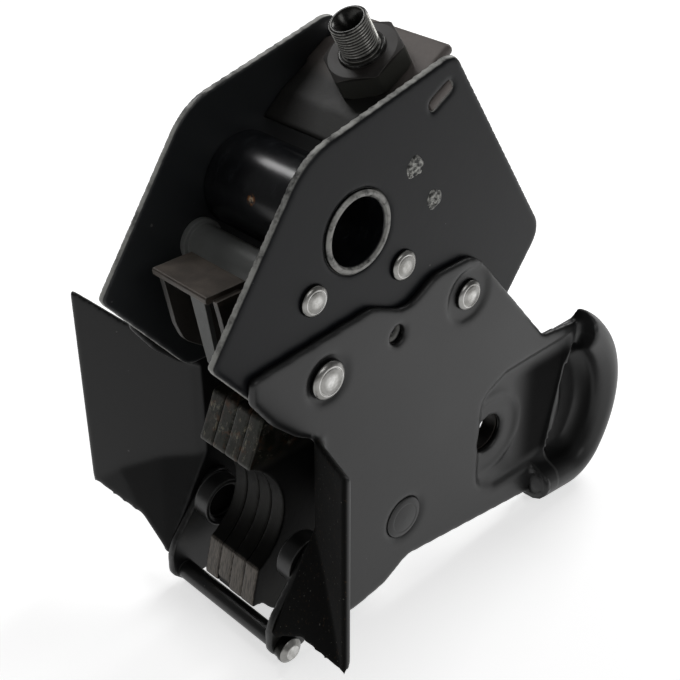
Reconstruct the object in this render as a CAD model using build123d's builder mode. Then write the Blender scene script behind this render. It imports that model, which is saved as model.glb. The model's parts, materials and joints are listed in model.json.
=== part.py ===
"""Cab tilt lock: riveted sheet housing, rotary claw, pawl, trip lever, stop stirrup and release cylinder.

Millimetres. X to the right of the side view, Z up, Y across the lock (near side is -Y).
The origin is on the axis of the big mounting tube, half way between the side plates.
"""
import math
import os

from build123d import *

# Sheets and widths (half widths are measured from the middle plane)
sheet = 4.0
upper_in = 36.0
upper_out = upper_in + sheet
lower_in = upper_out
lower_out = lower_in + sheet

# Clearances
rivet_fit = 0.05
pivot_fit = 0.08
slide_fit = 0.06
side_gap = 0.5

# Pivots and fastener centres in the side view (x, z)
tube_at = (0.0, 0.0)
front_rivet_at = (-26.5, -22.5)
rear_rivet_at = (27.5, -26.0)
side_rivet_at = (70.0, -57.0)
trip_at = (-21.5, -63.0)
claw_at = (30.0, -170.0)
stop_at = (-49.0, -206.0)
bolt_at = (95.3, -152.4)
small_hole_at = (22.0, -59.0)
boss_at = (-27.5, -169.0)

# Shanks, spacers and heads
upper_shank = 5.0
side_shank = 5.5
trip_shank = 7.0
claw_shank = 10.0
stop_shank = 3.5
boss_shank = 6.0
dimple_depth = 1.5

# Big tube
tube_body = 22.5
tube_neck = 19.0
tube_bore = 15.5
tube_end = upper_out + 1.2

# Claw and pawl packs
claw_plate = 9.0
claw_count = 4
claw_half = claw_plate * claw_count / 2
trip_bush = 10.5
pivot_spacer = 9.0
claw_bush = 14.0

# Cylinder axis: nut face point and upward direction in the side view
web_at = (46.95, 48.8)
cyl_tilt = 30.0
cyl_radius = 14.0
cyl_length = 48.0
cyl_bore = 9.0
web_thick = 5.0
nut_thick = 12.0
nut_flats = 33.8
rod_radius = 4.0

# Guide wings
wing_x = -28.0
wing_lean = 57.9
wing_reach = 64.9
lip_at = (127.0, -161.0)


def loop(corners):
    """Closed outline from (u, v, radius) corners, added to the open line builder."""
    n = len(corners)
    ends = []
    for i in range(n):
        p = Vector(*corners[i][:2])
        a = Vector(*corners[i - 1][:2]) - p
        b = Vector(*corners[(i + 1) % n][:2]) - p
        room = 0.49 * min(a.length, b.length)
        a, b = a.normalized(), b.normalized()
        r = corners[i][2] if len(corners[i]) > 2 else 0
        half = math.acos(max(-1, min(1, a.dot(b)))) / 2
        if r == 0 or half > 1.56:
            ends.append((p, None, p))
            continue
        r = min(r, room * math.tan(half))
        cut = r / math.tan(half)
        mid = (a + b).normalized()
        centre = p + mid * (r / math.sin(half))
        ends.append((p + a * cut, centre - mid * r, p + b * cut))
    for i in range(n):
        start, middle, stop = ends[i]
        if middle is not None:
            ThreePointArc(start, middle, stop)
        following = ends[(i + 1) % n][0]
        if (following - stop).length > 1e-4:
            Line(stop, following)


def slab(corners, y0, y1):
    """Flat piece with a side-view outline between two values of Y."""
    with BuildPart() as made:
        with BuildSketch(Plane.XZ.offset(-y0)):
            with BuildLine():
                loop(corners)
            make_face()
        extrude(amount=-(y1 - y0))
    return made.part


def disc(at, radius, y0, y1):
    """Cylinder along Y between two values of Y."""
    with BuildPart() as made:
        with BuildSketch(Plane.XZ.offset(-y0)):
            with Locations(at):
                Circle(radius)
        extrude(amount=-(y1 - y0))
    return made.part


def ring(at, outer, inner, y0, y1):
    """Tube along Y."""
    return disc(at, outer, y0, y1) - disc(at, inner, y0 - 1, y1 + 1)


def turned(at, profile):
    """Body of revolution round a Y axis from (radius, y) corners."""
    with BuildPart() as made:
        with BuildSketch(Plane(origin=(at[0], 0, at[1]), x_dir=(1, 0, 0), z_dir=(0, 0, 1))):
            with BuildLine():
                loop(profile)
            make_face()
        revolve(axis=Axis((at[0], 0, at[1]), (0, 1, 0)))
    return made.part


def both(solid):
    """The solid and its mirror image across the middle plane."""
    return solid + mirror(solid, about=Plane.XZ)


def finish(solid, node):
    """Label one sub-part and write its STEP file."""
    with BuildPart() as piece:
        add(solid)
    piece.part.label = node
    export_step(piece.part, f"parts/{node}.step")
    made_nodes.append(node)
    return piece.part


def rivet(at, shank, face, head, rise):
    """Rivet through both sides: shank and two raised, domed heads."""
    side = [
        (0, 0),
        (shank, 0),
        (shank, face),
        (head, face),
        (head, face + 0.55 * rise, 0.5),
        (0.72 * head, face + rise, 1.5),
        (0, face + rise),
    ]
    half = turned(at, side)
    return both(half)


def coil_spring(at, inner, wire, turns, y_mid, tail):
    """Close-wound torsion spring round a pivot: ridged coils of wire and two straight tails."""
    low = y_mid - wire * turns / 2
    profile = [(inner + 0.35 * wire, low)]
    for i in range(turns):
        y = low + wire * i
        profile += [(inner + 0.7 * wire, y), (inner + wire, y + 0.3 * wire), (inner + wire, y + 0.7 * wire)]
    profile += [(inner + 0.7 * wire, low + wire * turns), (inner + 0.35 * wire, low + wire * turns)]
    for i in reversed(range(turns)):
        y = low + wire * i
        profile += [(inner, y + 0.7 * wire), (inner, y + 0.3 * wire)]
        if i:
            profile.append((inner + 0.3 * wire, y))
    coil = turned(at, profile)
    half = 0.42 * wire
    for y, way in ((low + wire / 2, 1), (low + wire * (turns - 0.5), -1)):
        x = at[0] + way * (inner + wire / 2)
        coil += slab([(x - half, at[1]), (x + half, at[1]), (x + half, at[1] + tail), (x - half, at[1] + tail)],
                     y - half, y + half)
    return coil


os.makedirs("parts", exist_ok=True)
made_nodes = []

# Upper side plates: pressed 4 mm sheet, near and far alike
upper_outline = [
    (-81.8, -33.7, 4), (-28.5, 42.8, 36), (57.3, 64.4, 8), (127.3, -42.7, 13),
    (101, -77, 8), (88, -86, 10), (-38, -86, 10),
]
upper = slab(upper_outline, upper_in, upper_out)
upper -= disc(tube_at, tube_neck + rivet_fit, 30, 50)
upper -= disc(front_rivet_at, upper_shank + rivet_fit, 30, 50)
upper -= disc(rear_rivet_at, upper_shank + rivet_fit, 30, 50)
upper -= disc(side_rivet_at, side_shank + rivet_fit, 30, 50)
upper -= disc(trip_at, trip_shank + rivet_fit, 30, 50)
upper -= disc(small_hole_at, 4.8, 30, 50)

# Web bracket: sloped plate square to the cylinder axis with a tab in each side plate
along = (math.cos(math.radians(cyl_tilt)), math.sin(math.radians(cyl_tilt)))
up = (-along[1], along[0])


def on_web(s, t):
    """Side-view point s along the web from the cylinder axis and t above its top face."""
    return (web_at[0] + along[0] * s + up[0] * t, web_at[1] + along[1] * s + up[1] * t)


tab_from, tab_to = -6.5, 8.5
web_main = slab([on_web(13, 0), on_web(-26, 0) + (12,), (13, 26), (17.1, 23.2), on_web(-24.5, -web_thick) + (7,),
                 on_web(13, -web_thick)], -upper_in, upper_in)
web_tongue = slab([on_web(12, 0), on_web(26, 0) + (1,), on_web(26, -web_thick) + (1,), on_web(12, -web_thick)],
                  -26, 26)
web_tab = slab([on_web(tab_from, 0), on_web(tab_to, 0), on_web(tab_to, -web_thick), on_web(tab_from, -web_thick)],
               -upper_out, upper_out)
cyl_plane = Plane(origin=(web_at[0], 0, web_at[1]), x_dir=(0, 1, 0), z_dir=(up[0], 0, up[1]))


def on_axis(profile):
    """Body of revolution on the cylinder axis from (radius, height above the web face)."""
    with BuildPart() as made:
        with BuildSketch(Plane(origin=cyl_plane.origin, x_dir=(0, 1, 0), z_dir=(up[1], 0, -up[0]))):
            with BuildLine():
                loop(profile)
            make_face()
        revolve(axis=Axis(cyl_plane.origin, cyl_plane.z_dir))
    return made.part


stub_radius = 11.0
web = web_main + web_tongue + web_tab
web -= on_axis([(0, -12), (stub_radius + 0.1, -12), (stub_radius + 0.1, 12), (0, 12)])
web -= disc(tube_at, tube_body + 0.5, -50, 50)
slot = slab([on_web(tab_from - 0.2, 0.1), on_web(tab_to + 0.2, 0.1), on_web(tab_to + 0.2, -web_thick - 0.1),
             on_web(tab_from - 0.2, -web_thick - 0.1)], 30, 50)
upper -= slot
finish(mirror(upper, about=Plane.XZ), "upper_plate_near")
finish(upper, "upper_plate_far")
finish(web, "top_web")

# Big mounting tube, shouldered between the plates and staked at both ends
half_tube = turned(tube_at, [
    (tube_bore, 0), (tube_body, 0), (tube_body, upper_in, 0.8), (tube_neck, upper_in),
    (tube_neck, tube_end - 0.8), (tube_neck - 1.0, tube_end), (tube_bore + 1.2, tube_end), (tube_bore, tube_end - 1.6),
])
finish(both(half_tube), "mounting_tube")

# Spacer tubes of the two upper rivets and of the side rivet
flange_spacer = ring(front_rivet_at, 8.8, upper_shank + rivet_fit, -upper_in, upper_in)
flange_spacer += ring(front_rivet_at, 10.9, upper_shank + rivet_fit, upper_in - 3, upper_in)
flange_spacer -= disc(tube_at, tube_body + 0.3, -50, 50)
finish(flange_spacer, "flange_spacer")
finish(ring(rear_rivet_at, 8.0, upper_shank + rivet_fit, -upper_in, upper_in), "rear_spacer")
finish(ring(side_rivet_at, pivot_spacer, side_shank + rivet_fit, -upper_in, upper_in), "pawl_spacer_tube")

# Lower side plates: in-plane sheet, guide wing, lower facet and flared lip
plate_outline = [
    (-64, -45, 4), (6, -38.3, 14), (28, -48, 16), (46, -37.6, 14), (74, -36.4, 20),
    (133, -106.5, 4), (162.5, -110.5, 2), (161.5, -118, 6), (156, -142, 10), (151, -163, 10), (144, -194, 6),
    (130, -209, 4),
    (33, -197, 12), (17, -206, 12), (-5, -209.5, 12), (-24, -207, 14), (-40, -198, 10), (-57.5, -194.5, 2),
    (wing_x, -144), (wing_x, -92), (-39, -86, 20), (-53, -73, 20), (-65, -56, 6),
]
lower = slab(plate_outline, lower_in, lower_out)
lean = math.radians(wing_lean)
go = (-math.cos(lean), math.sin(lean))
back = (math.sin(lean), math.cos(lean))
miter = sheet * math.tan(lean / 2)
tip = (wing_x + go[0] * wing_reach, lower_in + go[1] * wing_reach)
with BuildPart() as wing_strip:
    with BuildSketch(Plane.XY.offset(-215)):
        with BuildLine():
            loop([
                (wing_x + 16, lower_in), (wing_x, lower_in, 10), tip + (1.5,),
                (tip[0] + back[0] * sheet, tip[1] + back[1] * sheet, 1.5),
                (wing_x + miter, lower_out, 6), (wing_x + 16, lower_out),
            ])
        make_face()
    extrude(amount=160)
crease = [(-27.5, 40.0, -143.5), (-41.1, 61.0, -150.6), (-53.9, 81.5, -162.5), (-61.8, 94.0, -174.5)]
wing_shape = slab([
    (-9, -92), (wing_x, -92, 4), (-66.0, -54.2, 4), (-66.0, crease[3][2] - 2),
    *[(x, z - 1.5) for x, y, z in reversed(crease)], (-9, crease[0][2] - 1.5),
], 20, 130)
wing = wing_strip.part & wing_shape
lower += wing


def triangle(a, b, c, thick):
    """Thick triangle of sheet from three corners of its inner face."""
    a, b, c = Vector(*a), Vector(*b), Vector(*c)
    across = (b - a).cross(c - a).normalized()
    if across.X < 0:
        across = across * -1
    with BuildPart() as made:
        with BuildSketch(Plane(origin=a, x_dir=(b - a), z_dir=across)) as face:
            flat = Plane(origin=a, x_dir=(b - a), z_dir=across)
            with BuildLine():
                Polyline(*[flat.to_local_coords(p) for p in (a, b, c)], close=True)
            make_face()
        extrude(amount=thick)
    return made.part


ear = (-56.8, 41.0, -193.5)
fold = (-56.8, 60.0, -180.5)
facet = triangle(crease[0], crease[1], ear, sheet) + triangle(crease[1], fold, ear, sheet)
facet += triangle(crease[1], crease[2], fold, sheet) + triangle(crease[2], crease[3], fold, sheet)
facet -= slab([(-80, -260), (40, -260), (40, -130), (-80, -130)], 0, lower_in)
lower += facet

# Flared lip round the rear end: wide arc, tight corner and a short straight run to the bottom edge
lip_profile = [
    (26, 43), (31, 40, 3), (43, 39, 6), (48, 44, 3), (51, 53, 4), (58, 57.5, 7), (66, 54, 7), (69, 47, 2), (68.5, 43),
    (65, 43), (64.5, 48, 4), (59, 53, 5), (54.5, 49, 2), (51, 40, 5), (45, 35, 6), (30, 36, 4), (26, 39),
]
corner_shift = 37.0
corner_profile = [(0, 39.4), (6, 39, 3)] + [(c[0] - corner_shift,) + c[1:] for c in lip_profile[3:14]]
corner_profile += [(8, 35, 6), (0, 35.4)]
run_profile = [(7, 39)] + [(c[0] - corner_shift,) + c[1:] for c in lip_profile[3:14]] + [(8, 35)]


def lip_part(centre, angle, profile, turn, run=0.0):
    """Piece of the lip: profile at one angle, revolved clockwise round the centre or run straight on."""
    spoke = (math.cos(math.radians(angle)), math.sin(math.radians(angle)))
    with BuildPart() as made:
        with BuildSketch(Plane(origin=(centre[0], 0, centre[1]), x_dir=(spoke[0], 0, spoke[1]),
                               z_dir=(-spoke[1], 0, spoke[0]))):
            with BuildLine():
                loop(profile)
            make_face()
        if run:
            extrude(amount=-run)
        else:
            revolve(axis=Axis((centre[0], 0, centre[1]), (0, 1, 0)), revolution_arc=turn)
    return made.part


lip_turn = -35.0
corner_at = (lip_at[0] + corner_shift * math.cos(math.radians(lip_turn)),
             lip_at[1] + corner_shift * math.sin(math.radians(lip_turn)))
lip_cut = 162.5
lower += lip_part(lip_at, 64, lip_profile, 64 - lip_turn) - slab(
    [(120, -80), (lip_cut, -80), (lip_cut, -131), (120, -140)], 20, 80)
lower += lip_part(corner_at, lip_turn, corner_profile, 60)
lower += lip_part(corner_at, lip_turn - 60, run_profile, 0, 24)
end_profile = [(43, 38), (45.5, 41), (48, 44, 3), (51, 53, 4), (58, 57.5, 7), (66, 54, 7), (69, 47, 2), (68.5, 42),
               (62, 38)]
end_wall = slab([(lip_cut, -80), (lip_cut + 3, -80), (lip_cut + 3, -134), (lip_cut, -134)], 36, 80)
lower += lip_part(lip_at, 64, end_profile, 24) & end_wall
bowl_floor = [(128, -112), (162, -112), (166, -114, 3), (173, -124, 6), (177, -160, 12), (171, -190, 10),
              (158, -207, 6), (150, -215, 3), (128, -207)]
lower += slab(bowl_floor, lower_in - 4, lower_in)

# Holes, dimples and boss ring of the lower plates
for at, radius in ((side_rivet_at, 15.0), (trip_at, 13.0), (claw_at, 13.2)):
    lower -= disc(at, radius, lower_out - dimple_depth, lower_out + 5)
    lower += ring(at, radius - 1.5, 6.0, lower_in, lower_out - dimple_depth)
tongue = [(84, -124, 14), (104, -115, 8), (168, -114, 2), (168, -128), (158, -142), (153, -163), (147, -184),
          (146, -190, 2), (138, -193, 6), (100, -191, 8), (84, -182, 14)]
tongue_drop = 3.0
with BuildPart() as recess:
    with BuildSketch(Plane.XZ.offset(-lower_out - 0.01)):
        with BuildLine():
            loop(tongue)
        make_face()
    extrude(amount=tongue_drop + 0.01, taper=55)
with BuildPart() as swell:
    with BuildSketch(Plane.XZ.offset(-lower_in)):
        with BuildLine():
            loop(tongue)
        make_face()
    extrude(amount=tongue_drop, taper=55)
lower += swell.part & slab([(70, -100), (157, -100), (157, -142), (145, -193), (70, -200)], 20, 60)
lower -= recess.part & slab([(70, -100), (157, -100), (157, -142), (145, -193), (70, -200)], 20, 60)
lower += ring(bolt_at, 25.0, 21.5, lower_out - tongue_drop - 1, lower_out - tongue_drop + 0.8)
for at, radius in (
    (side_rivet_at, side_shank + rivet_fit), (trip_at, trip_shank + rivet_fit), (claw_at, claw_shank + rivet_fit),
    (boss_at, boss_shank + rivet_fit), (bolt_at, 10.75), (small_hole_at, 4.8),
):
    lower -= disc(at, radius, 30, 60)
lower -= disc(stop_at, 9.0, 30, 60)
near_trim = slab([(-28.5, -92), (-70, -58), (-70, -45), (-58, -45)], -110, -lower_out - 2)
finish(mirror(lower, about=Plane.XZ) - near_trim, "lower_plate_near")
finish(lower, "lower_plate_far")

# Rivets
upper_rivets = rivet(front_rivet_at, upper_shank, upper_out, 7.3, 3.2)
upper_rivets += rivet(rear_rivet_at, upper_shank, upper_out, 7.3, 3.2)
finish(upper_rivets, "upper_rivets")
seat = lower_out - dimple_depth
finish(rivet(side_rivet_at, side_shank, seat, 7.8, 3.6), "side_rivet")
finish(rivet(trip_at, trip_shank, seat, 9.6, 4.2), "trip_rivet")
finish(rivet(claw_at, claw_shank, seat, 11.5, 2.2), "claw_rivet")

# Bushes behind the rear bolt holes
bolt_bush = both(ring(bolt_at, 16.0, 10.75, lower_in - 11.5, lower_in - tongue_drop))
finish(bolt_bush, "bolt_bushes")

# Claw: four laminations on a bush, held by three rivets
throat = (-62.0, -145.0)
throat_radius = 34.5


def claw_blank(y0, y1, notch=0.0):
    """One claw lamination."""
    outline = [
        (-43.5, -104, 2), (-37.5, -89.5, 3), (-29, -89, 10), (-8, -78, 30), (33.5, -67.3, 3), (45, -78, 8),
        (50, -120, 20), (56, -150, 20), (58, -180, 22), (30, -206, 22), (-12, -209, 20), (-36, -206.5, 6),
        (-43, -197.5, 3), (-50.3, -196.5, 2.5), (-44.5, -172, 1.5), (-62, -145),
    ]
    blank = slab(outline, y0, y1) - disc(throat, throat_radius, y0 - 1, y1 + 1)
    blank -= disc(claw_at, claw_bush, y0 - 1, y1 + 1)
    for at in claw_pins:
        blank -= disc(at, 3.5 + rivet_fit, y0 - 1, y1 + 1)
    if notch:
        blank -= disc((-51.5, -194.0), notch, y0 - 1, y1 + 1)
    return blank


claw_pins = [(0.0, -104.0), (-8.0, -184.0), (34.0, -106.0)]
for i in range(claw_count):
    y0 = -claw_half + claw_plate * i
    finish(claw_blank(y0, y0 + claw_plate, 3.0 if i == 2 else 0.0), f"claw_plate_{i + 1}")
bush_half = lower_in - side_gap
finish(ring(claw_at, claw_bush, claw_shank + pivot_fit, -bush_half, bush_half), "claw_bush")
claw_rivets = None
for at in claw_pins:
    one = disc(at, 3.5, -claw_half - 1.6, claw_half + 1.6)
    one += both(disc(at, 5.5, claw_half, claw_half + 1.6))
    claw_rivets = one if claw_rivets is None else claw_rivets + one
finish(claw_rivets, "claw_pack_rivets")

# Pawl: two plates turning on the spacer tube of the side rivet, wedge pads over the claw
# and a roller under the rod end
roller_radius = 5.0
roller_drop = 81.8
rod_gap = 0.45
roller_at = (web_at[0] - up[0] * roller_drop, web_at[1] - up[1] * roller_drop)
pawl_outline = [
    (28.4, -51, 3), (28.8, -57), (30, -65.6, 1.5), (38, -64.6, 1.5), (44, -56, 8), (58, -66, 10), (70, -73, 14),
    (86, -66, 14), (86, -48, 10), (96, -26, 8), (93, -13, 7), (82, -14, 7), (78, -24, 8), (66, -42, 12),
    (44, -45, 10), (30, -46, 5),
]
pawl_pin_at = (49.0, -52.5)
for node, y0 in (("pawl_plate_near", -claw_half), ("pawl_plate_far", claw_half - 8)):
    plate = slab(pawl_outline, y0, y0 + 8)
    plate -= disc(side_rivet_at, pivot_spacer + pivot_fit, y0 - 1, y0 + 9)
    plate -= disc(roller_at, 2.5 + rivet_fit, y0 - 1, y0 + 9)
    plate -= disc(pawl_pin_at, 3.0 + rivet_fit, y0 - 1, y0 + 9)
    finish(plate, node)
pawl_gap = claw_half - 8
finish(ring(roller_at, roller_radius, 2.55, -pawl_gap, pawl_gap), "push_roller")
finish(ring(pawl_pin_at, 6.0, 3.05, -pawl_gap, pawl_gap), "pawl_distance_tube")
pins = None
for at, radius in ((roller_at, 2.5), (pawl_pin_at, 3.0)):
    one = disc(at, radius, -claw_half - 1.4, claw_half + 1.4)
    one += both(disc(at, radius + 1.6, claw_half, claw_half + 1.4))
    pins = one if pins is None else pins + one
finish(pins, "pawl_pins")

# Trip lever with the flag plate: top plate, two side legs down to the pawl bush
flag_z = -15.0
with BuildPart() as flag:
    add(slab([(-66, flag_z, 1), (-44, flag_z, 1), (-44, flag_z - 2.5, 1), (-65.5, flag_z - 3.5, 1)], -18, 18))
lever = flag.part
leg_outline = [
    (-62, -17.5), (-48, -17.5), (-45, -24, 6), (-34, -50, 10), (-19, -51.5, 10), (-9, -60, 8), (-11, -72, 8),
    (-24, -74.5, 8), (-37, -68, 10), (-52, -57, 12), (-56, -47, 20), (-60, -26, 6),
]
leg = slab(leg_outline, 17.5, 20.5)
leg -= disc(trip_at, trip_bush + 0.02, 10, 30)
lever += both(leg)
slope = (0.258, 0, -0.966)
with BuildPart() as tongue_strip:
    with BuildSketch(Plane(origin=(-63.5, 0, flag_z - 2.5), x_dir=(0, 1, 0), z_dir=(0.966, 0, 0.258))):
        with BuildLine():
            loop([(-13.5, 0), (-4, 0), (0.5, -33, 20), (2, -47, 2), (-5.5, -47, 2), (-7.5, -33, 20)])
        make_face()
    extrude(amount=2.5)
lever += tongue_strip.part
finish(ring(trip_at, trip_bush, trip_shank + pivot_fit, -upper_in + side_gap, upper_in - side_gap), "trip_bush")
finish(lever, "trip_lever")

# Stop stirrup at the bottom of the mouth: two arms, round bosses, cross tube and its rivet
arm_outline = [
    (-27.5, -153, 12), (-56.8, -190, 20), (-57.5, -206, 9), (-49, -214.5, 9), (-35, -214, 6), (-18, -190, 12),
    (-13.5, -160, 12),
]
arm = slab(arm_outline, lower_in - 4, lower_in)
arm -= disc(boss_at, boss_shank + rivet_fit, 30, 50)
arm -= disc(stop_at, stop_shank + rivet_fit, 30, 50)
finish(mirror(arm, about=Plane.XZ), "stop_arm_near")
finish(arm, "stop_arm_far")
boss = turned(boss_at, [
    (0, 31), (9.8, 31), (9.8, 27.5), (11.2, 26.5), (13, 26.5, 0.6), (13, lower_in - 4), (boss_shank, lower_in - 4),
    (boss_shank, lower_out + 0.4, 0.3), (0, lower_out + 0.4),
])
finish(both(boss), "stop_bosses")
finish(ring(stop_at, 5.0, stop_shank + rivet_fit, -lower_in + 4, lower_in - 4), "stop_tube")
finish(turned(stop_at, [
    (0, -47), (4, -47, 1.5), (6.8, -45, 1), (6.8, -43), (6.2, -43), (6.2, -lower_in), (stop_shank, -lower_in),
    (stop_shank, lower_in), (6, lower_in), (6, lower_in + 1.4, 0.7), (0, lower_in + 1.4),
]), "stop_rivet")

# Cylinder: neck and threaded stub, barrel, gland, piston, rod, seals and return spring
barrel_top = -web_thick
barrel_end = barrel_top - cyl_length
thread_radius = 9.0
stub_end = 30.2
body = on_axis([
    (cyl_bore + 1.5, barrel_end), (cyl_radius, barrel_end, 0.8), (cyl_radius, barrel_top, 1), (stub_radius, barrel_top),
    (stub_radius, nut_thick + 1.5, 0.6), (thread_radius - 1, nut_thick + 1.5), (thread_radius - 1, nut_thick + 2.5),
    (thread_radius, nut_thick + 3.5), (thread_radius, stub_end - 1), (thread_radius - 0.8, stub_end),
    (thread_radius - 1.9, stub_end), (3.0, stub_end - 7.1), (3.0, barrel_top - 6), (cyl_bore, barrel_top - 7), (cyl_bore, barrel_end + 9),
    (cyl_bore + 1.5, barrel_end + 9),
])
finish(body, "cylinder_body")
with BuildPart() as nut:
    with BuildSketch(cyl_plane):
        RegularPolygon(nut_flats / 2, 6, major_radius=False, rotation=30)
        Circle(stub_radius + 0.05, mode=Mode.SUBTRACT)
    extrude(amount=nut_thick)
    nut_cone = on_axis([(stub_radius - 2, -1), (nut_flats / 2 - 0.5, -1), (nut_flats / 2 + 2.2, 1),
                        (nut_flats / 2 + 2.2, nut_thick - 1.2), (nut_flats / 2 - 0.6, nut_thick), (stub_radius - 2, nut_thick)])
    add(nut_cone, mode=Mode.INTERSECT)
finish(nut.part, "lock_nut")
gland = on_axis([
    (rod_radius + slide_fit, barrel_end), (cyl_bore + 1.5, barrel_end), (cyl_bore + 1.5, barrel_end + 9),
    (rod_radius + 1.8, barrel_end + 9), (rod_radius + 1.8, barrel_end + 6), (rod_radius + slide_fit, barrel_end + 6),
])
finish(gland, "cylinder_gland")
finish(on_axis([(rod_radius + 0.03, barrel_end + 6), (rod_radius + 1.8, barrel_end + 6),
                (rod_radius + 1.8, barrel_end + 9), (rod_radius + 0.03, barrel_end + 9)]), "rod_seal")
piston_top = barrel_top - 11
rod_end = -roller_drop + roller_radius + rod_gap
piston = on_axis([
    (0, piston_top), (cyl_bore - slide_fit, piston_top), (cyl_bore - slide_fit, piston_top - 2), (cyl_bore - 2, piston_top - 2),
    (cyl_bore - 2, piston_top - 5), (cyl_bore - slide_fit, piston_top - 5), (cyl_bore - slide_fit, piston_top - 8),
    (rod_radius, piston_top - 8), (rod_radius, rod_end + 5), (rod_radius + 2, rod_end + 5, 0.5),
    (rod_radius + 2, rod_end, 0.8), (0, rod_end),
])
finish(piston, "piston")
finish(on_axis([(cyl_bore - 2, piston_top - 2), (cyl_bore - 0.02, piston_top - 2), (cyl_bore - 0.02, piston_top - 5),
                (cyl_bore - 2, piston_top - 5)]), "piston_seal")

# Springs on the three pivots
finish(coil_spring(claw_at, claw_bush + 0.5, 2.6, 3, 25.5, 14), "claw_spring")
finish(coil_spring(side_rivet_at, pivot_spacer + 0.5, 2.2, 3, 27.0, 14), "pawl_spring")
finish(coil_spring(trip_at, trip_bush + 0.5, 1.8, 3, 27.0, 8), "trip_spring")

print(len(made_nodes), "nodes")
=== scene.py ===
"""Looks of the cab tilt lock: coated sheet, spun rivet heads, oiled laminations and a threaded port."""
import json

import bpy
import numpy as np
from mathutils import Matrix, Vector


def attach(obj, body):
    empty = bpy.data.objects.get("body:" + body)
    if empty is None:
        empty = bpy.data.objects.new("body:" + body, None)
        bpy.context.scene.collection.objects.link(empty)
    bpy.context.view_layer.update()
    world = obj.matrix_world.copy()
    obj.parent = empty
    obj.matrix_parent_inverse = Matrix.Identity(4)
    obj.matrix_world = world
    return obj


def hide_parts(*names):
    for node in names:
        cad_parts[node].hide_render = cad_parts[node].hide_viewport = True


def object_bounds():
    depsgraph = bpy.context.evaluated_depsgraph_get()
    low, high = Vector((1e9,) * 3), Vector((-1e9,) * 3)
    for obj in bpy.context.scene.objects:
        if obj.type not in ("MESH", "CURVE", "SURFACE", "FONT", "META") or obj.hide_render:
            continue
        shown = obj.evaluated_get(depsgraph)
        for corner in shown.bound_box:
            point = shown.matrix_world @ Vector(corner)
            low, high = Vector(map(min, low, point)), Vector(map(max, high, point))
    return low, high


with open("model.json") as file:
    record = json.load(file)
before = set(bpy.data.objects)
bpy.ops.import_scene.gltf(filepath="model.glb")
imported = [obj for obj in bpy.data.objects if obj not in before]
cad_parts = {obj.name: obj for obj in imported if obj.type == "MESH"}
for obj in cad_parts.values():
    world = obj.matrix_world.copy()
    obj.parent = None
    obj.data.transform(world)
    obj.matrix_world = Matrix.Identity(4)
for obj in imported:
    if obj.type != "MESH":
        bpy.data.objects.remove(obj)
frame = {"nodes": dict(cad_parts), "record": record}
cad_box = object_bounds()
nodes = frame["nodes"]

# Photo table: the camera stands where the photograph's perspective puts it, left of the mouth and above it.
# A pale floor lies just under the lock, and three large soft lamps and a dim room light it.
CAMERA_AT = Vector((-0.3436, -0.3888, 0.2534))
CAMERA_RIGHT = Vector((0.7229, -0.6909, -0.0016))
CAMERA_UP = Vector((0.3679, 0.3830, 0.8473))
CAMERA_BACK = Vector((-0.5848, -0.6131, 0.5311))
CAMERA_LENS = 69.14
FLOOR_GAP = 0.002
FLOOR_HALF = 6.0
ROOM_LIGHT = 0.15
LOCK_MIDDLE = Vector((0.03, 0, -0.08))

lens = bpy.data.cameras.new("camera")
lens.lens = CAMERA_LENS
lens.sensor_width = 36.0
lens.clip_start = 0.01
camera = bpy.data.objects.new("camera", lens)
camera.matrix_world = Matrix.Translation(CAMERA_AT) @ Matrix(
    (CAMERA_RIGHT, CAMERA_UP, CAMERA_BACK)).transposed().to_4x4()
bpy.context.scene.collection.objects.link(camera)
bpy.context.scene.camera = camera


def softbox(name, at, width, height, power):
    """Rectangular lamp at a point, turned to the middle of the lock."""
    data = bpy.data.lights.new(name, "AREA")
    data.shape = "RECTANGLE"
    data.size = width
    data.size_y = height
    data.energy = power
    lamp = bpy.data.objects.new(name, data)
    lamp.location = at
    lamp.rotation_euler = (LOCK_MIDDLE - Vector(at)).to_track_quat("-Z", "Y").to_euler()
    bpy.context.scene.collection.objects.link(lamp)


softbox("over_key", (0.02, 0.85, 1.05), 0.28, 0.7, 5.0)
softbox("front_fill", (-0.1, -1.5, 0.9), 0.9, 0.5, 4.0)
softbox("rear_side", (1.1, 0.2, 0.9), 0.6, 0.8, 8.0)


class Expr:
    """A node socket that reads like a number in formulas."""

    def __init__(self, paint, socket):
        self.paint = paint
        self.socket = socket

    def _math(self, operation, *others):
        return self.paint.node("ShaderNodeMath", {"operation": operation}, (self,) + others)

    def __add__(self, other):
        return self._math("ADD", other)

    def __sub__(self, other):
        return self._math("SUBTRACT", other)

    def __mul__(self, other):
        return self._math("MULTIPLY", other)

    def __rsub__(self, other):
        return self._math("MULTIPLY_ADD", -1.0, other)

    __radd__ = __add__
    __rmul__ = __mul__

    def size(self):
        return self._math("ABSOLUTE")

    def most(self, other):
        return self._math("MAXIMUM", other)

    def ramp(self, start, stop):
        """0 at start, 1 at stop, smooth between; start may lie above stop."""
        flip = start > stop
        return self.paint.node("ShaderNodeMapRange", {"interpolation_type": "SMOOTHSTEP"}, {
            "Value": self, "From Min": min(start, stop), "From Max": max(start, stop),
            "To Min": 1.0 if flip else 0.0, "To Max": 0.0 if flip else 1.0})


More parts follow.
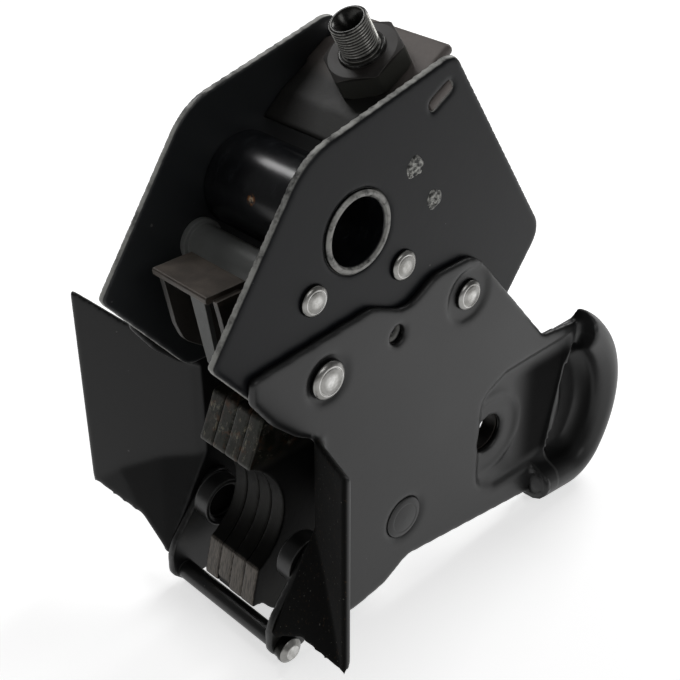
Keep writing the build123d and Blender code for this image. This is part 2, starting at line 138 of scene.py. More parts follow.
class Paint:
    """One material while it is being made."""

    def __init__(self, name):
        self.material = bpy.data.materials.new(name)
        self.material.use_nodes = True
        self.tree = self.material.node_tree
        self.shader = self.tree.nodes["Principled BSDF"]
        self.at = self.node("ShaderNodeTexCoord", {}, {}, "Object")
        split = self.tree.nodes.new("ShaderNodeSeparateXYZ")
        self.tree.links.new(self.at.socket, split.inputs[0])
        self.x, self.y, self.z = (Expr(self, socket) for socket in split.outputs)

    def node(self, kind, settings, inputs, out=0):
        """Any node: its type, its settings, then the values or links of its sockets."""
        made = self.tree.nodes.new(kind)
        for key, value in settings.items():
            setattr(made, key, value)
        named = inputs.items() if isinstance(inputs, dict) else enumerate(inputs)
        for key, value in named:
            if isinstance(value, Expr):
                self.tree.links.new(value.socket, made.inputs[key])
            else:
                made.inputs[key].default_value = value
        return Expr(self, made.outputs[out])

    def noise(self, scale, detail=3.0, rough=0.5, stretch=None):
        source = self.at
        if stretch:
            source = self.node("ShaderNodeMapping", {}, {"Vector": self.at, "Scale": stretch})
        return self.node("ShaderNodeTexNoise", {}, {
            "Vector": source, "Scale": scale, "Detail": detail, "Roughness": rough}, "Fac")

    def near(self, at, radius, soft):
        """1 within radius of a point, 0 beyond radius + soft (metres)."""
        away = self.node("ShaderNodeVectorMath", {"operation": "DISTANCE"}, {0: self.at, 1: at}, "Value")
        return away.ramp(radius + soft, radius)

    def facing(self, flat, steep):
        """1 where the surface faces along Y, 0 where it faces across; both limits are |normal y|."""
        normal = self.node("ShaderNodeNewGeometry", {}, {}, "Normal")
        across = self.node("ShaderNodeVectorMath", {"operation": "DOT_PRODUCT"},
                           {0: normal, 1: (0, 1, 0)}, "Value")
        return across.size().ramp(steep, flat)

    def edges(self, width):
        """1 where the surface bends sharply within width, 0 on flat faces."""
        soft = self.node("ShaderNodeBevel", {"samples": 6}, {"Radius": width})
        flat = self.node("ShaderNodeNewGeometry", {}, {}, "Normal")
        dot = self.node("ShaderNodeVectorMath", {"operation": "DOT_PRODUCT"}, {0: soft, 1: flat}, "Value")
        return dot.ramp(0.995, 0.84)

    def blend(self, share, low, high):
        """Colour between low (share 0) and high (share 1)."""
        values = {0: share}
        for index, colour in ((6, low), (7, high)):
            values[index] = colour if isinstance(colour, Expr) else tuple(colour) + (1.0,)
        return self.node("ShaderNodeMix", {"data_type": "RGBA"}, values, 2)

    def set(self, **sockets):
        for key, value in sockets.items():
            socket = self.shader.inputs[key.replace("_", " ")]
            if isinstance(value, Expr):
                self.tree.links.new(value.socket, socket)
            else:
                socket.default_value = value + (1.0,) if isinstance(value, tuple) else value

    def relief(self, height, strength, distance, rounding=0.0, lean=None):
        """Bump from a height, over edges rounded by the given radius; lean is added to the normal's Z."""
        inputs = {"Strength": strength, "Distance": distance, "Height": height}
        if rounding:
            inputs["Normal"] = self.node("ShaderNodeBevel", {"samples": 6}, {"Radius": rounding})
        if lean:
            push = self.node("ShaderNodeCombineXYZ", {}, {"X": 0.0, "Y": 0.0, "Z": lean})
            leant = self.node("ShaderNodeVectorMath", {"operation": "ADD"}, {0: inputs["Normal"], 1: push})
            inputs["Normal"] = self.node("ShaderNodeVectorMath", {"operation": "NORMALIZE"}, {0: leant})
        self.set(Normal=self.node("ShaderNodeBump", {}, inputs))


floor_level = cad_box[0][2] - FLOOR_GAP
floor_data = bpy.data.meshes.new("floor")
floor_data.from_pydata([(-FLOOR_HALF, -FLOOR_HALF, floor_level), (FLOOR_HALF, -FLOOR_HALF, floor_level),
                        (FLOOR_HALF, FLOOR_HALF, floor_level), (-FLOOR_HALF, FLOOR_HALF, floor_level)], [],
                       [(0, 1, 2, 3)])
floor = bpy.data.objects.new("floor", floor_data)
bpy.context.scene.collection.objects.link(floor)
ground = Paint("pale_floor")
ground.set(Base_Color=(0.9, 0.9, 0.9), Roughness=0.9)
seen = ground.node("ShaderNodeLightPath", {}, {}, "Is Camera Ray")
mirrored = ground.node("ShaderNodeLightPath", {}, {}, "Is Glossy Ray")
ground.set(Emission_Color=(1.0, 1.0, 1.0), Emission_Strength=seen.most(mirrored) * 0.62)
floor.data.materials.append(ground.material)
room = bpy.data.worlds.new("room")
bpy.context.scene.world = room
room.use_nodes = True
room.node_tree.nodes["Background"].inputs[0].default_value = (1, 1, 1, 1)
room.node_tree.nodes["Background"].inputs[1].default_value = ROOM_LIGHT
bpy.context.scene.view_settings.view_transform = "Standard"

# Side plates: cold-formed 4 mm sheet in a thin black electrocoat. Bends and dimples are soft, sheared edges
# are grey where the coat is worn thin, with a painted highlight along them, and dust and fine scratches lie
# on the flats. The far upper plate gets a lighter copy of the coat as painted light. Painted shade darkens
# the near wing's inner face, the hollow between the bolt boss and the lip, and the lip's bowl; brown crumbs
# and pale specks of dirt lie on the wing, and a painted highlight runs along the hollow's brink.
UPPER_COAT = (0.0046, 0.0052, 0.0066)
# Far upper plate: the same black coat made lighter, painted light on its shaded inner face.
FAR_COAT_PAINTED_LIGHT = (0.016, 0.0175, 0.019)
LOWER_COAT = (0.0068, 0.0070, 0.0072)
SHEET_VOXEL = 0.0013
WING_BEND = (-0.028, 0.040)
WING_NORMAL = (-0.847, -0.531)
BRINK_LEAN = 0.23
BRINK_AT = 0.1892
# Near-black painted shade for the hollow beside the boss and the lip's bowl.
PAINTED_SHADE_BLACK = (0.003, 0.003, 0.003)


def shade_and_dirt_masks(p):
    """Masks for painted shade and dirt: near wing's inner face, hollow beside the boss, its painted bright
    brink and the lip's bowl, each 0 to 1.
    """
    ahead = (p.x - WING_BEND[0]) * WING_NORMAL[0] + (p.y.size() - WING_BEND[1]) * WING_NORMAL[1]
    on_wing = p.y.size().ramp(0.0441, 0.0452).most(p.z.ramp(-0.091, -0.093))
    inner = ahead.ramp(-0.0028, -0.0012) * p.y.ramp(-0.036, -0.042) * on_wing
    past = p.x - p.z * BRINK_LEAN - BRINK_AT
    hollow = p.x.ramp(0.108, 0.134) * past.ramp(-0.0014, -0.0026) * p.z.ramp(-0.118, -0.130)
    hollow = hollow * p.z.ramp(-0.192, -0.182)
    brink = past.ramp(-0.0024, -0.0016) * past.ramp(0.0002, -0.0006) * p.z.ramp(-0.114, -0.118)
    bowl = past.ramp(-0.0004, 0.0012) * p.y.size().ramp(0.050, 0.046) * p.z.ramp(-0.112, -0.118)
    return inner, hollow, brink, bowl


def coat(name, tint, rough, specular, grime=0.0, mouth_shade_and_dirt=False, sheared=False):
    """Black coat with orange-peel relief, dusty clouds, edges lighter as worn coat and painted highlight,
    small chips and rubbed lines.

    grime adds brown grease, sheared bares the faces across the sheet, and the mouth masks paint shade into
    the near wing's inner face, the hollow and the lip's bowl, a highlight along the brink, and dirt on the
    wing.
    """
    p = Paint(name)
    lean = None
    cloud = p.noise(16.0, 4.0, 0.55)
    peel = p.noise(520.0, 2.0, 0.5)
    speck = p.noise(230.0, 2.0, 0.4)
    rub = p.noise(34.0, 5.0, 0.7, stretch=(1.0, 1.0, 7.0))
    # Edges: lighter where the coat is worn thin, and a painted highlight along them.
    rim = p.edges(0.0017) * p.noise(70.0, 4.0, 0.7).ramp(0.30, 0.58)
    colour = p.blend(cloud.ramp(0.4, 0.8) * 0.12, tint, (0.035, 0.035, 0.035))
    colour = p.blend(rub.ramp(0.62, 0.8) * 0.08, colour, (0.07, 0.07, 0.072))
    if grime:
        colour = p.blend(p.noise(45.0, 5.0, 0.7).ramp(0.48, 0.75) * grime, colour, (0.06, 0.052, 0.036))
    colour = p.blend(rim * 0.7, colour, (0.22, 0.22, 0.215))
    if sheared:
        bare = (1.0 - p.facing(0.85, 0.55)) * p.noise(90.0, 4.0, 0.7).ramp(0.25, 0.6)
        colour = p.blend(bare * 0.9, colour, (0.50, 0.50, 0.475))
    colour = p.blend(speck.ramp(0.79, 0.81) * 0.35, colour, (0.2, 0.19, 0.18))
    gloss = cloud * 0.16 + peel * 0.05 + (rough - 0.1)
    if mouth_shade_and_dirt:
        # Painted shade: the near wing's inner face, the hollow and the lip's bowl are darkened, with more
        # metal and a normal leant up. The brown crumbs and pale specks on the wing are dirt. A painted
        # highlight line runs along the brink.
        inner, hollow, brink, bowl = shade_and_dirt_masks(p)
        crumbs = inner * p.noise(420.0, 4.0, 0.7).ramp(0.6, 0.68)
        specks = inner * p.noise(700.0, 2.0, 0.5).ramp(0.70, 0.74)
        for share, stain in ((inner * 0.85, (0.0045, 0.0045, 0.004)), (crumbs * 0.5, (0.10, 0.055, 0.025)),
                             (specks * 0.7, (0.25, 0.24, 0.21)), (bowl * 0.8, PAINTED_SHADE_BLACK), (hollow * 0.8, PAINTED_SHADE_BLACK),
                             (brink * 0.8, (0.06, 0.061, 0.06))):
            colour = p.blend(share, colour, stain)
        gloss = gloss + inner * 0.3
        p.set(Metallic=(inner * 0.72).most(hollow * 0.85))
        lean = (hollow * 0.5).most(bowl * 0.55).most(inner * 0.6)
    p.set(Base_Color=colour, Roughness=gloss, Specular_IOR_Level=specular)
    p.relief(peel * 0.5 + p.noise(130.0, 2.0, 0.5), 0.14, 0.00022, 0.0008, lean)
    return p.material


def softened(name, node, voxel, passes, material):
    """Copy of a CAD node with its sharp edges pressed soft: merged, remeshed on a fine grid and relaxed."""
    data = nodes[node].data.copy()
    data.name = name
    piece = bpy.data.objects.new(name, data)
    bpy.context.scene.collection.objects.link(piece)
    weld = piece.modifiers.new("weld", "WELD")
    weld.merge_threshold = 0.00001
    grid = piece.modifiers.new("grid", "REMESH")
    grid.mode = "VOXEL"
    grid.voxel_size = voxel
    grid.use_smooth_shade = True
    relax = piece.modifiers.new("relax", "SMOOTH")
    relax.factor = 0.5
    relax.iterations = passes
    finished = bpy.data.meshes.new_from_object(piece.evaluated_get(bpy.context.evaluated_depsgraph_get()))
    piece.modifiers.clear()
    piece.data = finished
    finished.materials.clear()
    finished.materials.append(material)
    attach(piece, BODY_OF[node])
    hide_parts(node)


BODY_OF = {n: body for body, names in frame["record"]["behaviour"]["bodies"].items() for n in names}
upper_coat = {"near": coat("upper_coat_near", UPPER_COAT, 0.36, 0.20, sheared=True),
              "far": coat("upper_coat_far", FAR_COAT_PAINTED_LIGHT, 0.36, 0.40, sheared=True)}
lower_coat = {"near": coat("lower_coat_near", LOWER_COAT, 0.40, 0.46, mouth_shade_and_dirt=True),
              "far": coat("lower_coat_far", LOWER_COAT, 0.40, 0.26)}
for side in ("near", "far"):
    softened(f"upper_sheet_{side}", f"upper_plate_{side}", SHEET_VOXEL, 3, upper_coat[side])
    softened(f"lower_sheet_{side}", f"lower_plate_{side}", SHEET_VOXEL, 6, lower_coat[side])

# Stop stirrup: two coated arms, round bosses and a cross tube at the foot of the mouth.
# The same dark coat as the sheet, with more grease and rubbing from use.
stop_coat = coat("stop_coat", (0.0075, 0.0078, 0.0078), 0.36, 0.45, grime=0.3)
for node in ("stop_arm_near", "stop_arm_far"):
    softened(node.replace("stop_arm", "stop_strap"), node, 0.0009, 4, stop_coat)


def dress(material, *names):
    """Give CAD nodes that keep their shape a material."""
    for name in names:
        nodes[name].data.materials.clear()
        nodes[name].data.materials.append(material)


dress(stop_coat, "stop_bosses", "stop_tube")

# Mounting tube and spacers: turned tube, coated after riveting, with its ends staked over the plates.
# The staked ring is rubbed to grey metal, and a drop of orange primer dried on the tube's front.
PRIMER_AT = (-0.0215, 0.0041, 0.0068)
tube = Paint("tube_coat")
turning = tube.noise(260.0, 3.0, 0.6, stretch=(1.0, 0.15, 1.0))
cloud = tube.noise(30.0, 4.0, 0.6)
colour = tube.blend(cloud.ramp(0.4, 0.8) * 0.3, (0.0048, 0.0054, 0.0066), (0.022, 0.023, 0.024))
dusty = tube.noise(95.0, 5.0, 0.75, stretch=(1.0, 3.0, 1.0)).ramp(0.46, 0.72)
colour = tube.blend(dusty * 0.5, colour, (0.026, 0.028, 0.031))
stake = tube.y.size().ramp(0.0398, 0.0405) * tube.noise(300.0, 3.0, 0.6).ramp(0.2, 0.6)
colour = tube.blend(stake * 0.85, colour, (0.46, 0.455, 0.43))
ragged = tube.noise(620.0, 3.0, 0.6)
drop = tube.near(PRIMER_AT, 0.0009, 0.0022) * ragged.ramp(0.44, 0.52)
colour = tube.blend(drop, colour, (0.42, 0.16, 0.045))
colour = tube.blend(tube.near(PRIMER_AT, 0.0008, 0.001) * ragged.ramp(0.38, 0.46), colour, (0.6, 0.45, 0.3))
tube.set(Base_Color=colour, Roughness=cloud * 0.10 + turning * 0.06 + 0.15, Specular_IOR_Level=0.4)
tube.relief(turning, 0.12, 0.0002, 0.0006)
dress(tube.material, "mounting_tube")
# Spacers: a light grey copy of the black coat, painted light where they sit in shade, with brown grease.
spacer_lit_coat = coat("spacer_lit_coat", (0.19, 0.197, 0.19), 0.42, 0.5, grime=0.3)
dress(spacer_lit_coat, "flange_spacer", "rear_spacer")

# Lip ends: at its foot the rolled lip is closed by a small wall of the same sheet and coat.
# The section is the filled profile of the lip, in mm, and the wall stands square to its straight run.
LIP_FOOT = np.array((133.4, -180.1))
LIP_SPOKE = np.array((-0.0872, -0.9962))
LIP_RUN = np.array((0.9962, -0.0872))
LIP_SECTION = np.array([(5, 38.4), (9, 41), (11, 44), (13.6, 51), (17, 55.5), (21.5, 56.8), (26, 55.6),
                        (29.5, 52.5), (31.4, 48), (31.6, 42), (31.2, 37.2), (20, 36.6)])
LIP_WALL = 3.0
LIP_START = 0.2


def lip_foot(side):
    """Prism: the section (radius along the spoke, |y|) at the foot, repeated one wall along the run."""
    flat = LIP_FOOT + LIP_SPOKE * LIP_SECTION[:, :1]
    ends = [np.stack([some[:, 0], side * LIP_SECTION[:, 1], some[:, 1]], axis=-1)
            for some in (flat + LIP_RUN * LIP_START, flat + LIP_RUN * (LIP_START + LIP_WALL))]
    n = len(LIP_SECTION)
    walls = [(i, (i + 1) % n, (i + 1) % n + n, i + n) for i in range(n)]
    faces = [tuple(range(n - 1, -1, -1)), tuple(range(n, 2 * n))] + walls
    if side > 0:
        faces = [tuple(reversed(face)) for face in faces]
    return np.vstack(ends) * 0.001, faces


def piece_from(name, parts, material, body, slot, *replaced):
    """One object from (points, faces) lists, riding on a body in place of CAD nodes."""
    points, faces, base = [], [], 0
    for some_points, some_faces in parts:
        points.append(some_points)
        faces += [[i + base for i in face] for face in some_faces]
        base += len(some_points)
    data = bpy.data.meshes.new(name)
    data.from_pydata(np.vstack(points).tolist(), [], faces)
    data.polygons.foreach_set("use_smooth", np.ones(len(data.polygons), bool))
    data.materials.append(material)
    piece = bpy.data.objects.new(name, data)
    bpy.context.scene.collection.objects.link(piece)
    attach(piece, body)
    if replaced:
        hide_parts(*replaced)


piece_from("lip_feet", [lip_foot(-1), lip_foot(1)], lower_coat["near"], "frame", "black_paint")

# Rivets: steel pins with spun heads. Each head has a raised rim, a groove, a sloped ring and a low dome in
# the middle where the tool turned, with fine rings. The claw's pivot was coated with the plates.
def turned(at, profile, around=72):
    """Solid turned about a Y axis: profile rows are (radius, y) in mm from one pole to the other."""
    rows = np.array(profile, float) * 0.001
    angle = np.linspace(0.0, 2 * np.pi, around, endpoint=False)
    body = rows[1:-1]
    radius = body[:, 0][:, None]
    x, z = at[0] * 0.001, at[1] * 0.001
    depth = np.broadcast_to(body[:, 1][:, None], (len(body), around))
    points = np.stack([x + radius * np.cos(angle), depth, z + radius * np.sin(angle)], axis=-1)
    points = np.vstack([points.reshape(-1, 3), [x, rows[0, 1], z], [x, rows[-1, 1], z]])
    index = np.arange(len(body) * around).reshape(len(body), around)
    nxt = np.roll(index, -1, axis=1)
    quads = np.stack([index[:-1], nxt[:-1], nxt[1:], index[1:]], axis=-1).reshape(-1, 4)
    first, last = len(points) - 2, len(points) - 1
    caps = np.concatenate([np.stack([nxt[0], index[0], np.full(around, first)], axis=-1),
                           np.stack([index[-1], nxt[-1], np.full(around, last)], axis=-1)])
    return points, quads.tolist() + caps.tolist()


def head_rows(shank, face, head, rise):
    """Half profile of a rivet from the dome's pole to mid length, (radius, y) in mm."""
    top = face + rise
    r = head
    return [
        (0, top + 0.02 * rise), (0.05 * r, top + 0.015 * rise), (0.12 * r, top - 0.005 * rise),
        (0.22 * r, top - 0.03 * rise), (0.34 * r, top - 0.07 * rise), (0.46 * r, top - 0.125 * rise),
        (0.56 * r, top - 0.185 * rise), (0.62 * r, top - 0.225 * rise), (0.65 * r, top - 0.25 * rise),
        (0.665 * r, top - 0.275 * rise), (0.685 * r, top - 0.28 * rise), (0.71 * r, top - 0.24 * rise),
        (0.735 * r, top - 0.225 * rise), (0.765 * r, top - 0.235 * rise), (0.81 * r, top - 0.28 * rise),
        (0.86 * r, top - 0.34 * rise), (0.91 * r, top - 0.41 * rise), (0.95 * r, top - 0.49 * rise),
        (0.98 * r, top - 0.58 * rise), (r, top - 0.68 * rise), (r, face + 0.12 * rise), (0.985 * r, face),
        (shank, face), (shank, face - 1.0),
    ]


def whole_rivet(at, shank, face, head, rise):
    """Rivet with the same spun head on both sides; face is |y| of the sheet under the heads."""
    half = head_rows(shank, face, head, rise)
    return turned(at, half + [(r, -y) for r, y in reversed(half)])


bright = Paint("spun_head")
rings = bright.noise(150.0, 4.0, 0.6)
fine = bright.noise(1100.0, 3.0, 0.6)
colour = bright.blend(rings.ramp(0.3, 0.72), (0.36, 0.353, 0.335), (0.80, 0.795, 0.78))
colour = bright.blend(bright.noise(420.0, 4.0, 0.7).ramp(0.6, 0.75) * 0.45, colour, (0.12, 0.11, 0.09))
# Painted shade on the sloped faces of each head, so the flat faces stay bright as a painted highlight.
sloped_shade = 1.0 - bright.facing(0.997, 0.97)
colour = bright.blend(sloped_shade * 0.75, colour, (0.17, 0.166, 0.155))
wall = 1.0 - bright.facing(0.6, 0.4)
colour = bright.blend(wall * 0.95, colour, (0.012, 0.012, 0.011))
bright.set(Base_Color=colour, Metallic=0.95, Roughness=rings * 0.16 + fine * 0.12 + 0.16)
bright.relief(fine + rings, 0.2, 0.00018)
UPPER_FACE, DIMPLE_FACE = 40.0, 42.5
piece_from("upper_spun_rivets", [whole_rivet((-26.5, -22.5), 5.0, UPPER_FACE, 7.3, 3.2),
                                 whole_rivet((27.5, -26.0), 5.0, UPPER_FACE, 7.3, 3.2)],
           bright.material, "frame", "bare_steel", "upper_rivets")
piece_from("side_spun_rivet", [whole_rivet((70.0, -57.0), 5.5, DIMPLE_FACE, 7.8, 3.6)],
           bright.material, "frame", "bare_steel", "side_rivet")
piece_from("trip_spun_rivet", [whole_rivet((-21.5, -63.0), 7.0, DIMPLE_FACE, 9.6, 4.2)],
           bright.material, "frame", "bare_steel", "trip_rivet")
piece_from("claw_spun_rivet", [whole_rivet((30.0, -170.0), 10.0, DIMPLE_FACE, 11.5, 2.2)],
           lower_coat["near"], "frame", "black_paint", "claw_rivet")
dress(bright.material, "stop_rivet")

# Staked pins: two pins peened over on the near upper plate; what they hold inside isn't seen.
# Rough low buttons with bright hammered faces and a dark sunk rim.
PIN_BACK = 38.6
MARKS = (((33.7, 19.2), 5.6, 3), ((46.7, -0.2), 5.2, 8))


def peened(at, radius, seed):
    """Lumpy button: height over a polar grid is a low dome with a few random hammer dents."""
    draw = np.random.default_rng(seed)
    rings_out, around = 22, 64
    r = np.linspace(0.0, 1.0, rings_out)[:, None]
    a = np.linspace(0.0, 2 * np.pi, around, endpoint=False)[None, :]
    wobble = 1 + 0.07 * np.sin(3 * a + seed) + 0.04 * np.sin(5 * a + 2.1 * seed)
    x, z = r * wobble * np.cos(a), r * wobble * np.sin(a)
    height = 0.75 * (1 - r ** 4) + 0 * a
    for _ in range(11):
        cx, cz = draw.uniform(-0.75, 0.75, 2)
        height = height - draw.uniform(0.2, 0.55) * np.exp(-((x - cx) ** 2 + (z - cz) ** 2) / 0.035)
    height = height * (1 - r ** 10) - 0.3 * r ** 10
    points = np.stack([at[0] + radius * x, -(UPPER_FACE + height), at[1] + radius * z], axis=-1)
    points = points.reshape(-1, 3) * 0.001
    index = np.arange(rings_out * around).reshape(rings_out, around)
    nxt = np.roll(index, -1, axis=1)
    quads = np.stack([index[:-1], index[1:], nxt[1:], nxt[:-1]], axis=-1).reshape(-1, 4)
    back = np.array([[at[0], -PIN_BACK, at[1]]]) * 0.001
    rim = np.stack([nxt[-1], index[-1], np.full(around, len(points))], axis=-1)
    return np.vstack([points, back]), quads.tolist() + rim.tolist()


hammered = Paint("hammered_pin")
dents = hammered.noise(420.0, 4.0, 0.7)
colour = hammered.blend(dents.ramp(0.4, 0.62), (0.02, 0.02, 0.019), (0.3, 0.3, 0.28))
hammered.set(Base_Color=colour, Metallic=0.7, Roughness=dents * 0.3 + 0.25)
hammered.relief(dents, 0.6, 0.0005)
piece_from("staked_pins", [peened(*mark) for mark in MARKS], hammered.material, "frame", "dark_steel")

# Claw: four laminations stamped side by side, oiled and run in. Their edges are rounded by the press tool,
# grease and brown dust sit in the seams, and the lower tips are wiped clean by the striker.
TIP_LEAN = 0.2367
pack = Paint("oiled_lamination")
broad = pack.noise(70.0, 5.0, 0.65)
shear = pack.noise(520.0, 4.0, 0.6, stretch=(0.35, 3.0, 0.35))
colour = pack.blend(broad.ramp(0.3, 0.75), (0.016, 0.015, 0.012), (0.050, 0.046, 0.038))
tip = (pack.x - pack.z * TIP_LEAN).ramp(-0.0024, -0.0033) * pack.z.ramp(-0.1705, -0.1725)
wiped = pack.blend(shear.ramp(0.38, 0.62), (0.040, 0.035, 0.030), (0.135, 0.118, 0.100))
colour = pack.blend(tip * 0.85, colour, wiped)
# Painted shade: the throat and the lower pack behind the tips are made near-black and more metallic.
throat_shade = pack.z.ramp(-0.114, -0.119) * (1.0 - tip)
colour = pack.blend(throat_shade * 0.93, colour, (0.006, 0.006, 0.0055))
mouth = pack.z.ramp(-0.116, -0.11)
greasy = mouth * pack.noise(150.0, 4.0, 0.65).ramp(0.36, 0.56)
colour = pack.blend(greasy * 0.85, colour, (0.009, 0.011, 0.006))
rust = mouth * pack.noise(170.0, 4.0, 0.7).ramp(0.52, 0.66)
colour = pack.blend(rust * 0.45, colour, (0.11, 0.042, 0.014))
smear = mouth * pack.noise(190.0, 6.0, 0.8, stretch=(1.0, 2.2, 1.0)).ramp(0.55, 0.66)
colour = pack.blend(smear * 0.6, colour, (0.24, 0.22, 0.15))
pack.set(Base_Color=colour, Metallic=throat_shade * 0.42 + 0.5,
         Roughness=broad * 0.2 + shear * 0.14 + 0.26 - greasy * 0.12)
pack.relief(shear + smear, 0.3, 0.0003)
for i in (1, 2, 3, 4):
    softened(f"lamination_{i}", f"claw_plate_{i}", 0.00085, 3, pack.material)

# Hidden gear: bushes, pawl plates and pins of phosphated steel under a film of oil.
# Only their edges show through the mouth and from below.
brown = Paint("phosphate")
patches = brown.noise(80.0, 5.0, 0.65)
grain = brown.noise(800.0, 3.0, 0.7)
colour = brown.blend(patches.ramp(0.3, 0.72), (0.009, 0.0085, 0.0078), (0.026, 0.023, 0.020))
colour = brown.blend(brown.edges(0.0008) * 0.45, colour, (0.13, 0.115, 0.1))
brown.set(Base_Color=colour, Metallic=0.5, Roughness=patches * 0.2 + grain * 0.1 + 0.34)
brown.relief(grain, 0.25, 0.0002, 0.0005)
dress(brown.material, "claw_bush", "claw_pack_rivets", "pawl_spacer_tube", "pawl_plate_near",
      "pawl_plate_far", "pawl_distance_tube", "pawl_pins", "trip_bush", "bolt_bushes", "cylinder_gland")
ground_steel = Paint("ground_steel")
lap = ground_steel.noise(600.0, 3.0, 0.6)
colour = ground_steel.blend(lap.ramp(0.3, 0.7), (0.34, 0.34, 0.33), (0.5, 0.5, 0.49))
ground_steel.set(Base_Color=colour, Metallic=0.95, Roughness=lap * 0.12 + 0.2)
ground_steel.relief(lap, 0.1, 0.0001, 0.0004)
dress(ground_steel.material, "push_roller", "piston")
wire = Paint("spring_wire")
drawn = wire.noise(500.0, 3.0, 0.6)
colour = wire.blend(drawn.ramp(0.3, 0.7), (0.05, 0.05, 0.052), (0.12, 0.12, 0.122))
wire.set(Base_Color=colour, Metallic=0.8, Roughness=drawn * 0.15 + 0.3)
wire.relief(drawn, 0.15, 0.0001, 0.0004)
dress(wire.material, "claw_spring", "pawl_spring", "trip_spring")
rubber = Paint("seal_rubber")
matt = rubber.noise(400.0, 3.0, 0.6)
rubber.set(Base_Color=rubber.blend(matt, (0.012, 0.012, 0.012), (0.026, 0.026, 0.026)),
           Roughness=matt * 0.1 + 0.6)
dress(rubber.material, "rod_seal", "piston_seal")

# Trip lever: flag plate on two legs, bent from thin sheet and phosphated to a warm grey-brown.
# Its face is dull and finely speckled, its edges are paler.
flag = Paint("flag_phosphate")
mottle = flag.noise(120.0, 5.0, 0.6)
pin = flag.noise(900.0, 3.0, 0.6)
colour = flag.blend(mottle.ramp(0.3, 0.75), (0.045, 0.036, 0.029), (0.078, 0.063, 0.051))
# Painted shade: the legs below the flag plate are made near-black.
colour = flag.blend(flag.z.ramp(-0.0185, -0.021) * 0.75, colour, (0.012, 0.012, 0.011))
strip = flag.y.size().ramp(0.0165, 0.0155) * flag.z.ramp(-0.019, -0.022)
colour = flag.blend(strip * 0.9, colour, (0.055, 0.058, 0.055))
colour = flag.blend(flag.edges(0.0008) * 0.6, colour, (0.15, 0.145, 0.13))
flag.set(Base_Color=colour, Metallic=0.35, Roughness=mottle * 0.15 + pin * 0.1 + 0.38)
flag.relief(pin, 0.25, 0.0002, 0.0006)
dress(flag.material, "trip_lever")

# Top web: sheet bracket, phosphated grey-brown on top and near-black on its bent front.
# Cloudy brown stains lie over the upper face.
web = Paint("web_phosphate")
stain = web.noise(55.0, 5.0, 0.65)
tooth = web.noise(700.0, 3.0, 0.6)
colour = web.blend(stain.ramp(0.3, 0.75), (0.088, 0.075, 0.069), (0.15, 0.131, 0.121))
front = web.x.ramp(0.047, 0.034)
colour = web.blend(front * 0.96, colour, (0.0065, 0.0065, 0.0055))
web.set(Base_Color=colour, Metallic=0.2, Roughness=stain * 0.2 + tooth * 0.1 + 0.40)
web.relief(tooth, 0.25, 0.0002, 0.0007)
softened("web_sheet", "top_web", 0.0011, 4, web.material)

# Port stub and lock nut: blackened neck with a fine thread and a cone mouth, and a hexagon nut on it.
# The nut's top face is painted darker and its flats lighter, as painted shade and painted light; a paler
# line runs round each thread crest.
AXIS_AT = np.array((46.95, 0.0, 48.8))
AXIS_UP = np.array((-0.5, 0.0, 0.8660254))
AXIS_SIDE = np.array((0.0, 1.0, 0.0))
AXIS_ALONG = np.array((0.8660254, 0.0, 0.5))
PITCH = 1.5
NUT_TOP = 0.0104


def neck_rows():
    """Closed wall of barrel, collar, thread and bores: (radius, height) in mm along the axis."""
    thread = [(9.0, h) for h in np.arange(15.4, 29.01, 0.1875)]
    return [
        (10.5, -53.0), (13.4, -53.0), (13.8, -52.9), (14.0, -52.4), (14.0, -5.6), (13.8, -5.1),
        (13.4, -5.0), (11.0, -5.0), (11.0, 13.1), (10.8, 13.4), (10.4, 13.5), (8.1, 13.5),
        (8.0, 13.7), (8.0, 14.4), (8.2, 14.7),
    ] + thread + [
        (9.0, 29.2), (8.8, 29.6), (8.2, 30.1), (7.9, 30.2), (7.3, 30.2), (7.1, 30.1), (6.4, 29.3),
        (5.0, 27.2), (3.6, 24.3), (3.1, 23.2), (3.0, 22.8), (3.0, -10.9), (3.2, -11.1), (9.0, -12.0),
        (9.0, -44.0), (10.5, -44.0),
    ]


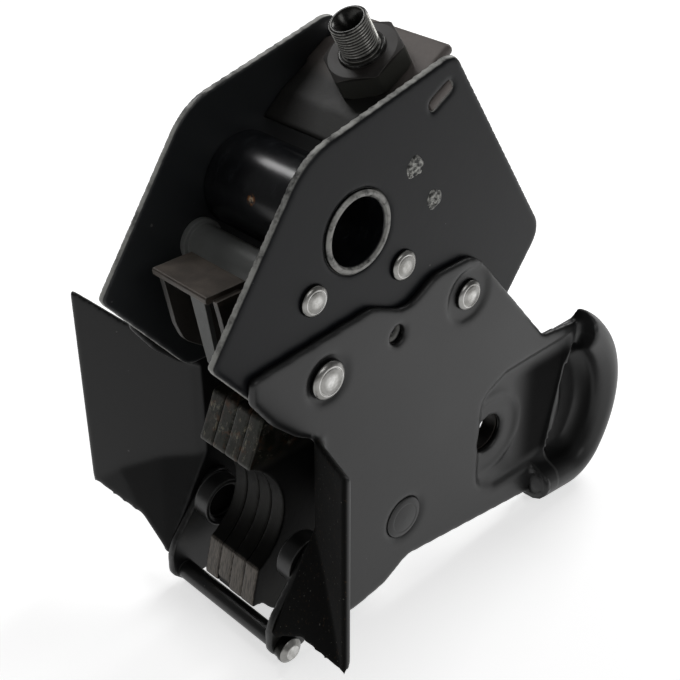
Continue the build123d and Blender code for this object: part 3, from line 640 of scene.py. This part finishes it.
def threaded_neck():
    """Ring sweep of the wall: on the thread the radius dips by a rounded V that climbs one pitch a turn."""
    rows = np.array(neck_rows())
    around = 96
    a = np.linspace(0.0, 2 * np.pi, around, endpoint=False)[None, :]
    radius, height = rows[:, :1], rows[:, 1:]
    phase = (height / PITCH - a / (2 * np.pi)) % 1.0
    groove = 0.92 * np.clip(1.15 - 2.6 * np.abs(phase - 0.5), 0.0, 1.0)
    share = np.clip((height - 15.2) / 0.9, 0, 1) * np.clip((29.5 - height) / 0.6, 0, 1) * (radius > 8.6)
    radius = radius - groove * share
    points = (AXIS_AT + height[..., None] * AXIS_UP + (radius * np.cos(a))[..., None] * AXIS_ALONG
              + (radius * np.sin(a))[..., None] * AXIS_SIDE).reshape(-1, 3) * 0.001
    index = np.arange(len(rows) * around).reshape(len(rows), around)
    nxt, up = np.roll(index, -1, axis=1), np.roll(index, -1, axis=0)
    both = np.roll(up, -1, axis=1)
    return points, np.stack([index, up, both, nxt], axis=-1).reshape(-1, 4).tolist()


black = Paint("blackened_neck")
worn = black.noise(300.0, 4.0, 0.65)
colour = black.blend(worn.ramp(0.3, 0.7), (0.012, 0.012, 0.011), (0.045, 0.044, 0.041))
colour = black.blend(black.edges(0.0005) * 0.75, colour, (0.42, 0.41, 0.39))
from_axis = black.node("ShaderNodeVectorMath", {"operation": "SUBTRACT"},
                       {0: black.at, 1: tuple(AXIS_AT * 0.001)})
swung = black.node("ShaderNodeVectorMath", {"operation": "CROSS_PRODUCT"},
                   {0: from_axis, 1: tuple(AXIS_UP)})
reach = black.node("ShaderNodeVectorMath", {"operation": "LENGTH"}, {0: swung}, "Value")
crest = reach.ramp(0.0083, 0.00885) * reach.ramp(0.00925, 0.00905) * worn.ramp(0.25, 0.5)
colour = black.blend(crest * 0.85, colour, (0.40, 0.395, 0.37))
black.set(Base_Color=colour, Metallic=0.6, Roughness=worn * 0.18 + 0.16)
black.relief(worn, 0.15, 0.0002)
piece_from("threaded_neck", [threaded_neck()], black.material, "frame", "dark_steel", "cylinder_body")
nut = Paint("nut_phosphate")
cloudy = nut.noise(90.0, 5.0, 0.65)
colour = nut.blend(cloudy.ramp(0.3, 0.72), (0.011, 0.0095, 0.0085), (0.028, 0.024, 0.022))
# Painted light and shade: the flats below the nut's top face get a lighter colour than the top.
along = nut.z * AXIS_UP[2] + nut.x * AXIS_UP[0]
nut_face = AXIS_AT @ AXIS_UP * 0.001 + NUT_TOP
colour = nut.blend(along.ramp(nut_face + 0.0004, nut_face - 0.0004) * 0.95, colour, (0.055, 0.056, 0.048))
colour = nut.blend(nut.edges(0.0009) * 0.4, colour, (0.16, 0.15, 0.135))
nut.set(Base_Color=colour, Metallic=0.2, Roughness=cloudy * 0.2 + 0.42)
nut.relief(cloudy, 0.2, 0.0003, 0.0006)
dress(nut.material, "lock_nut")
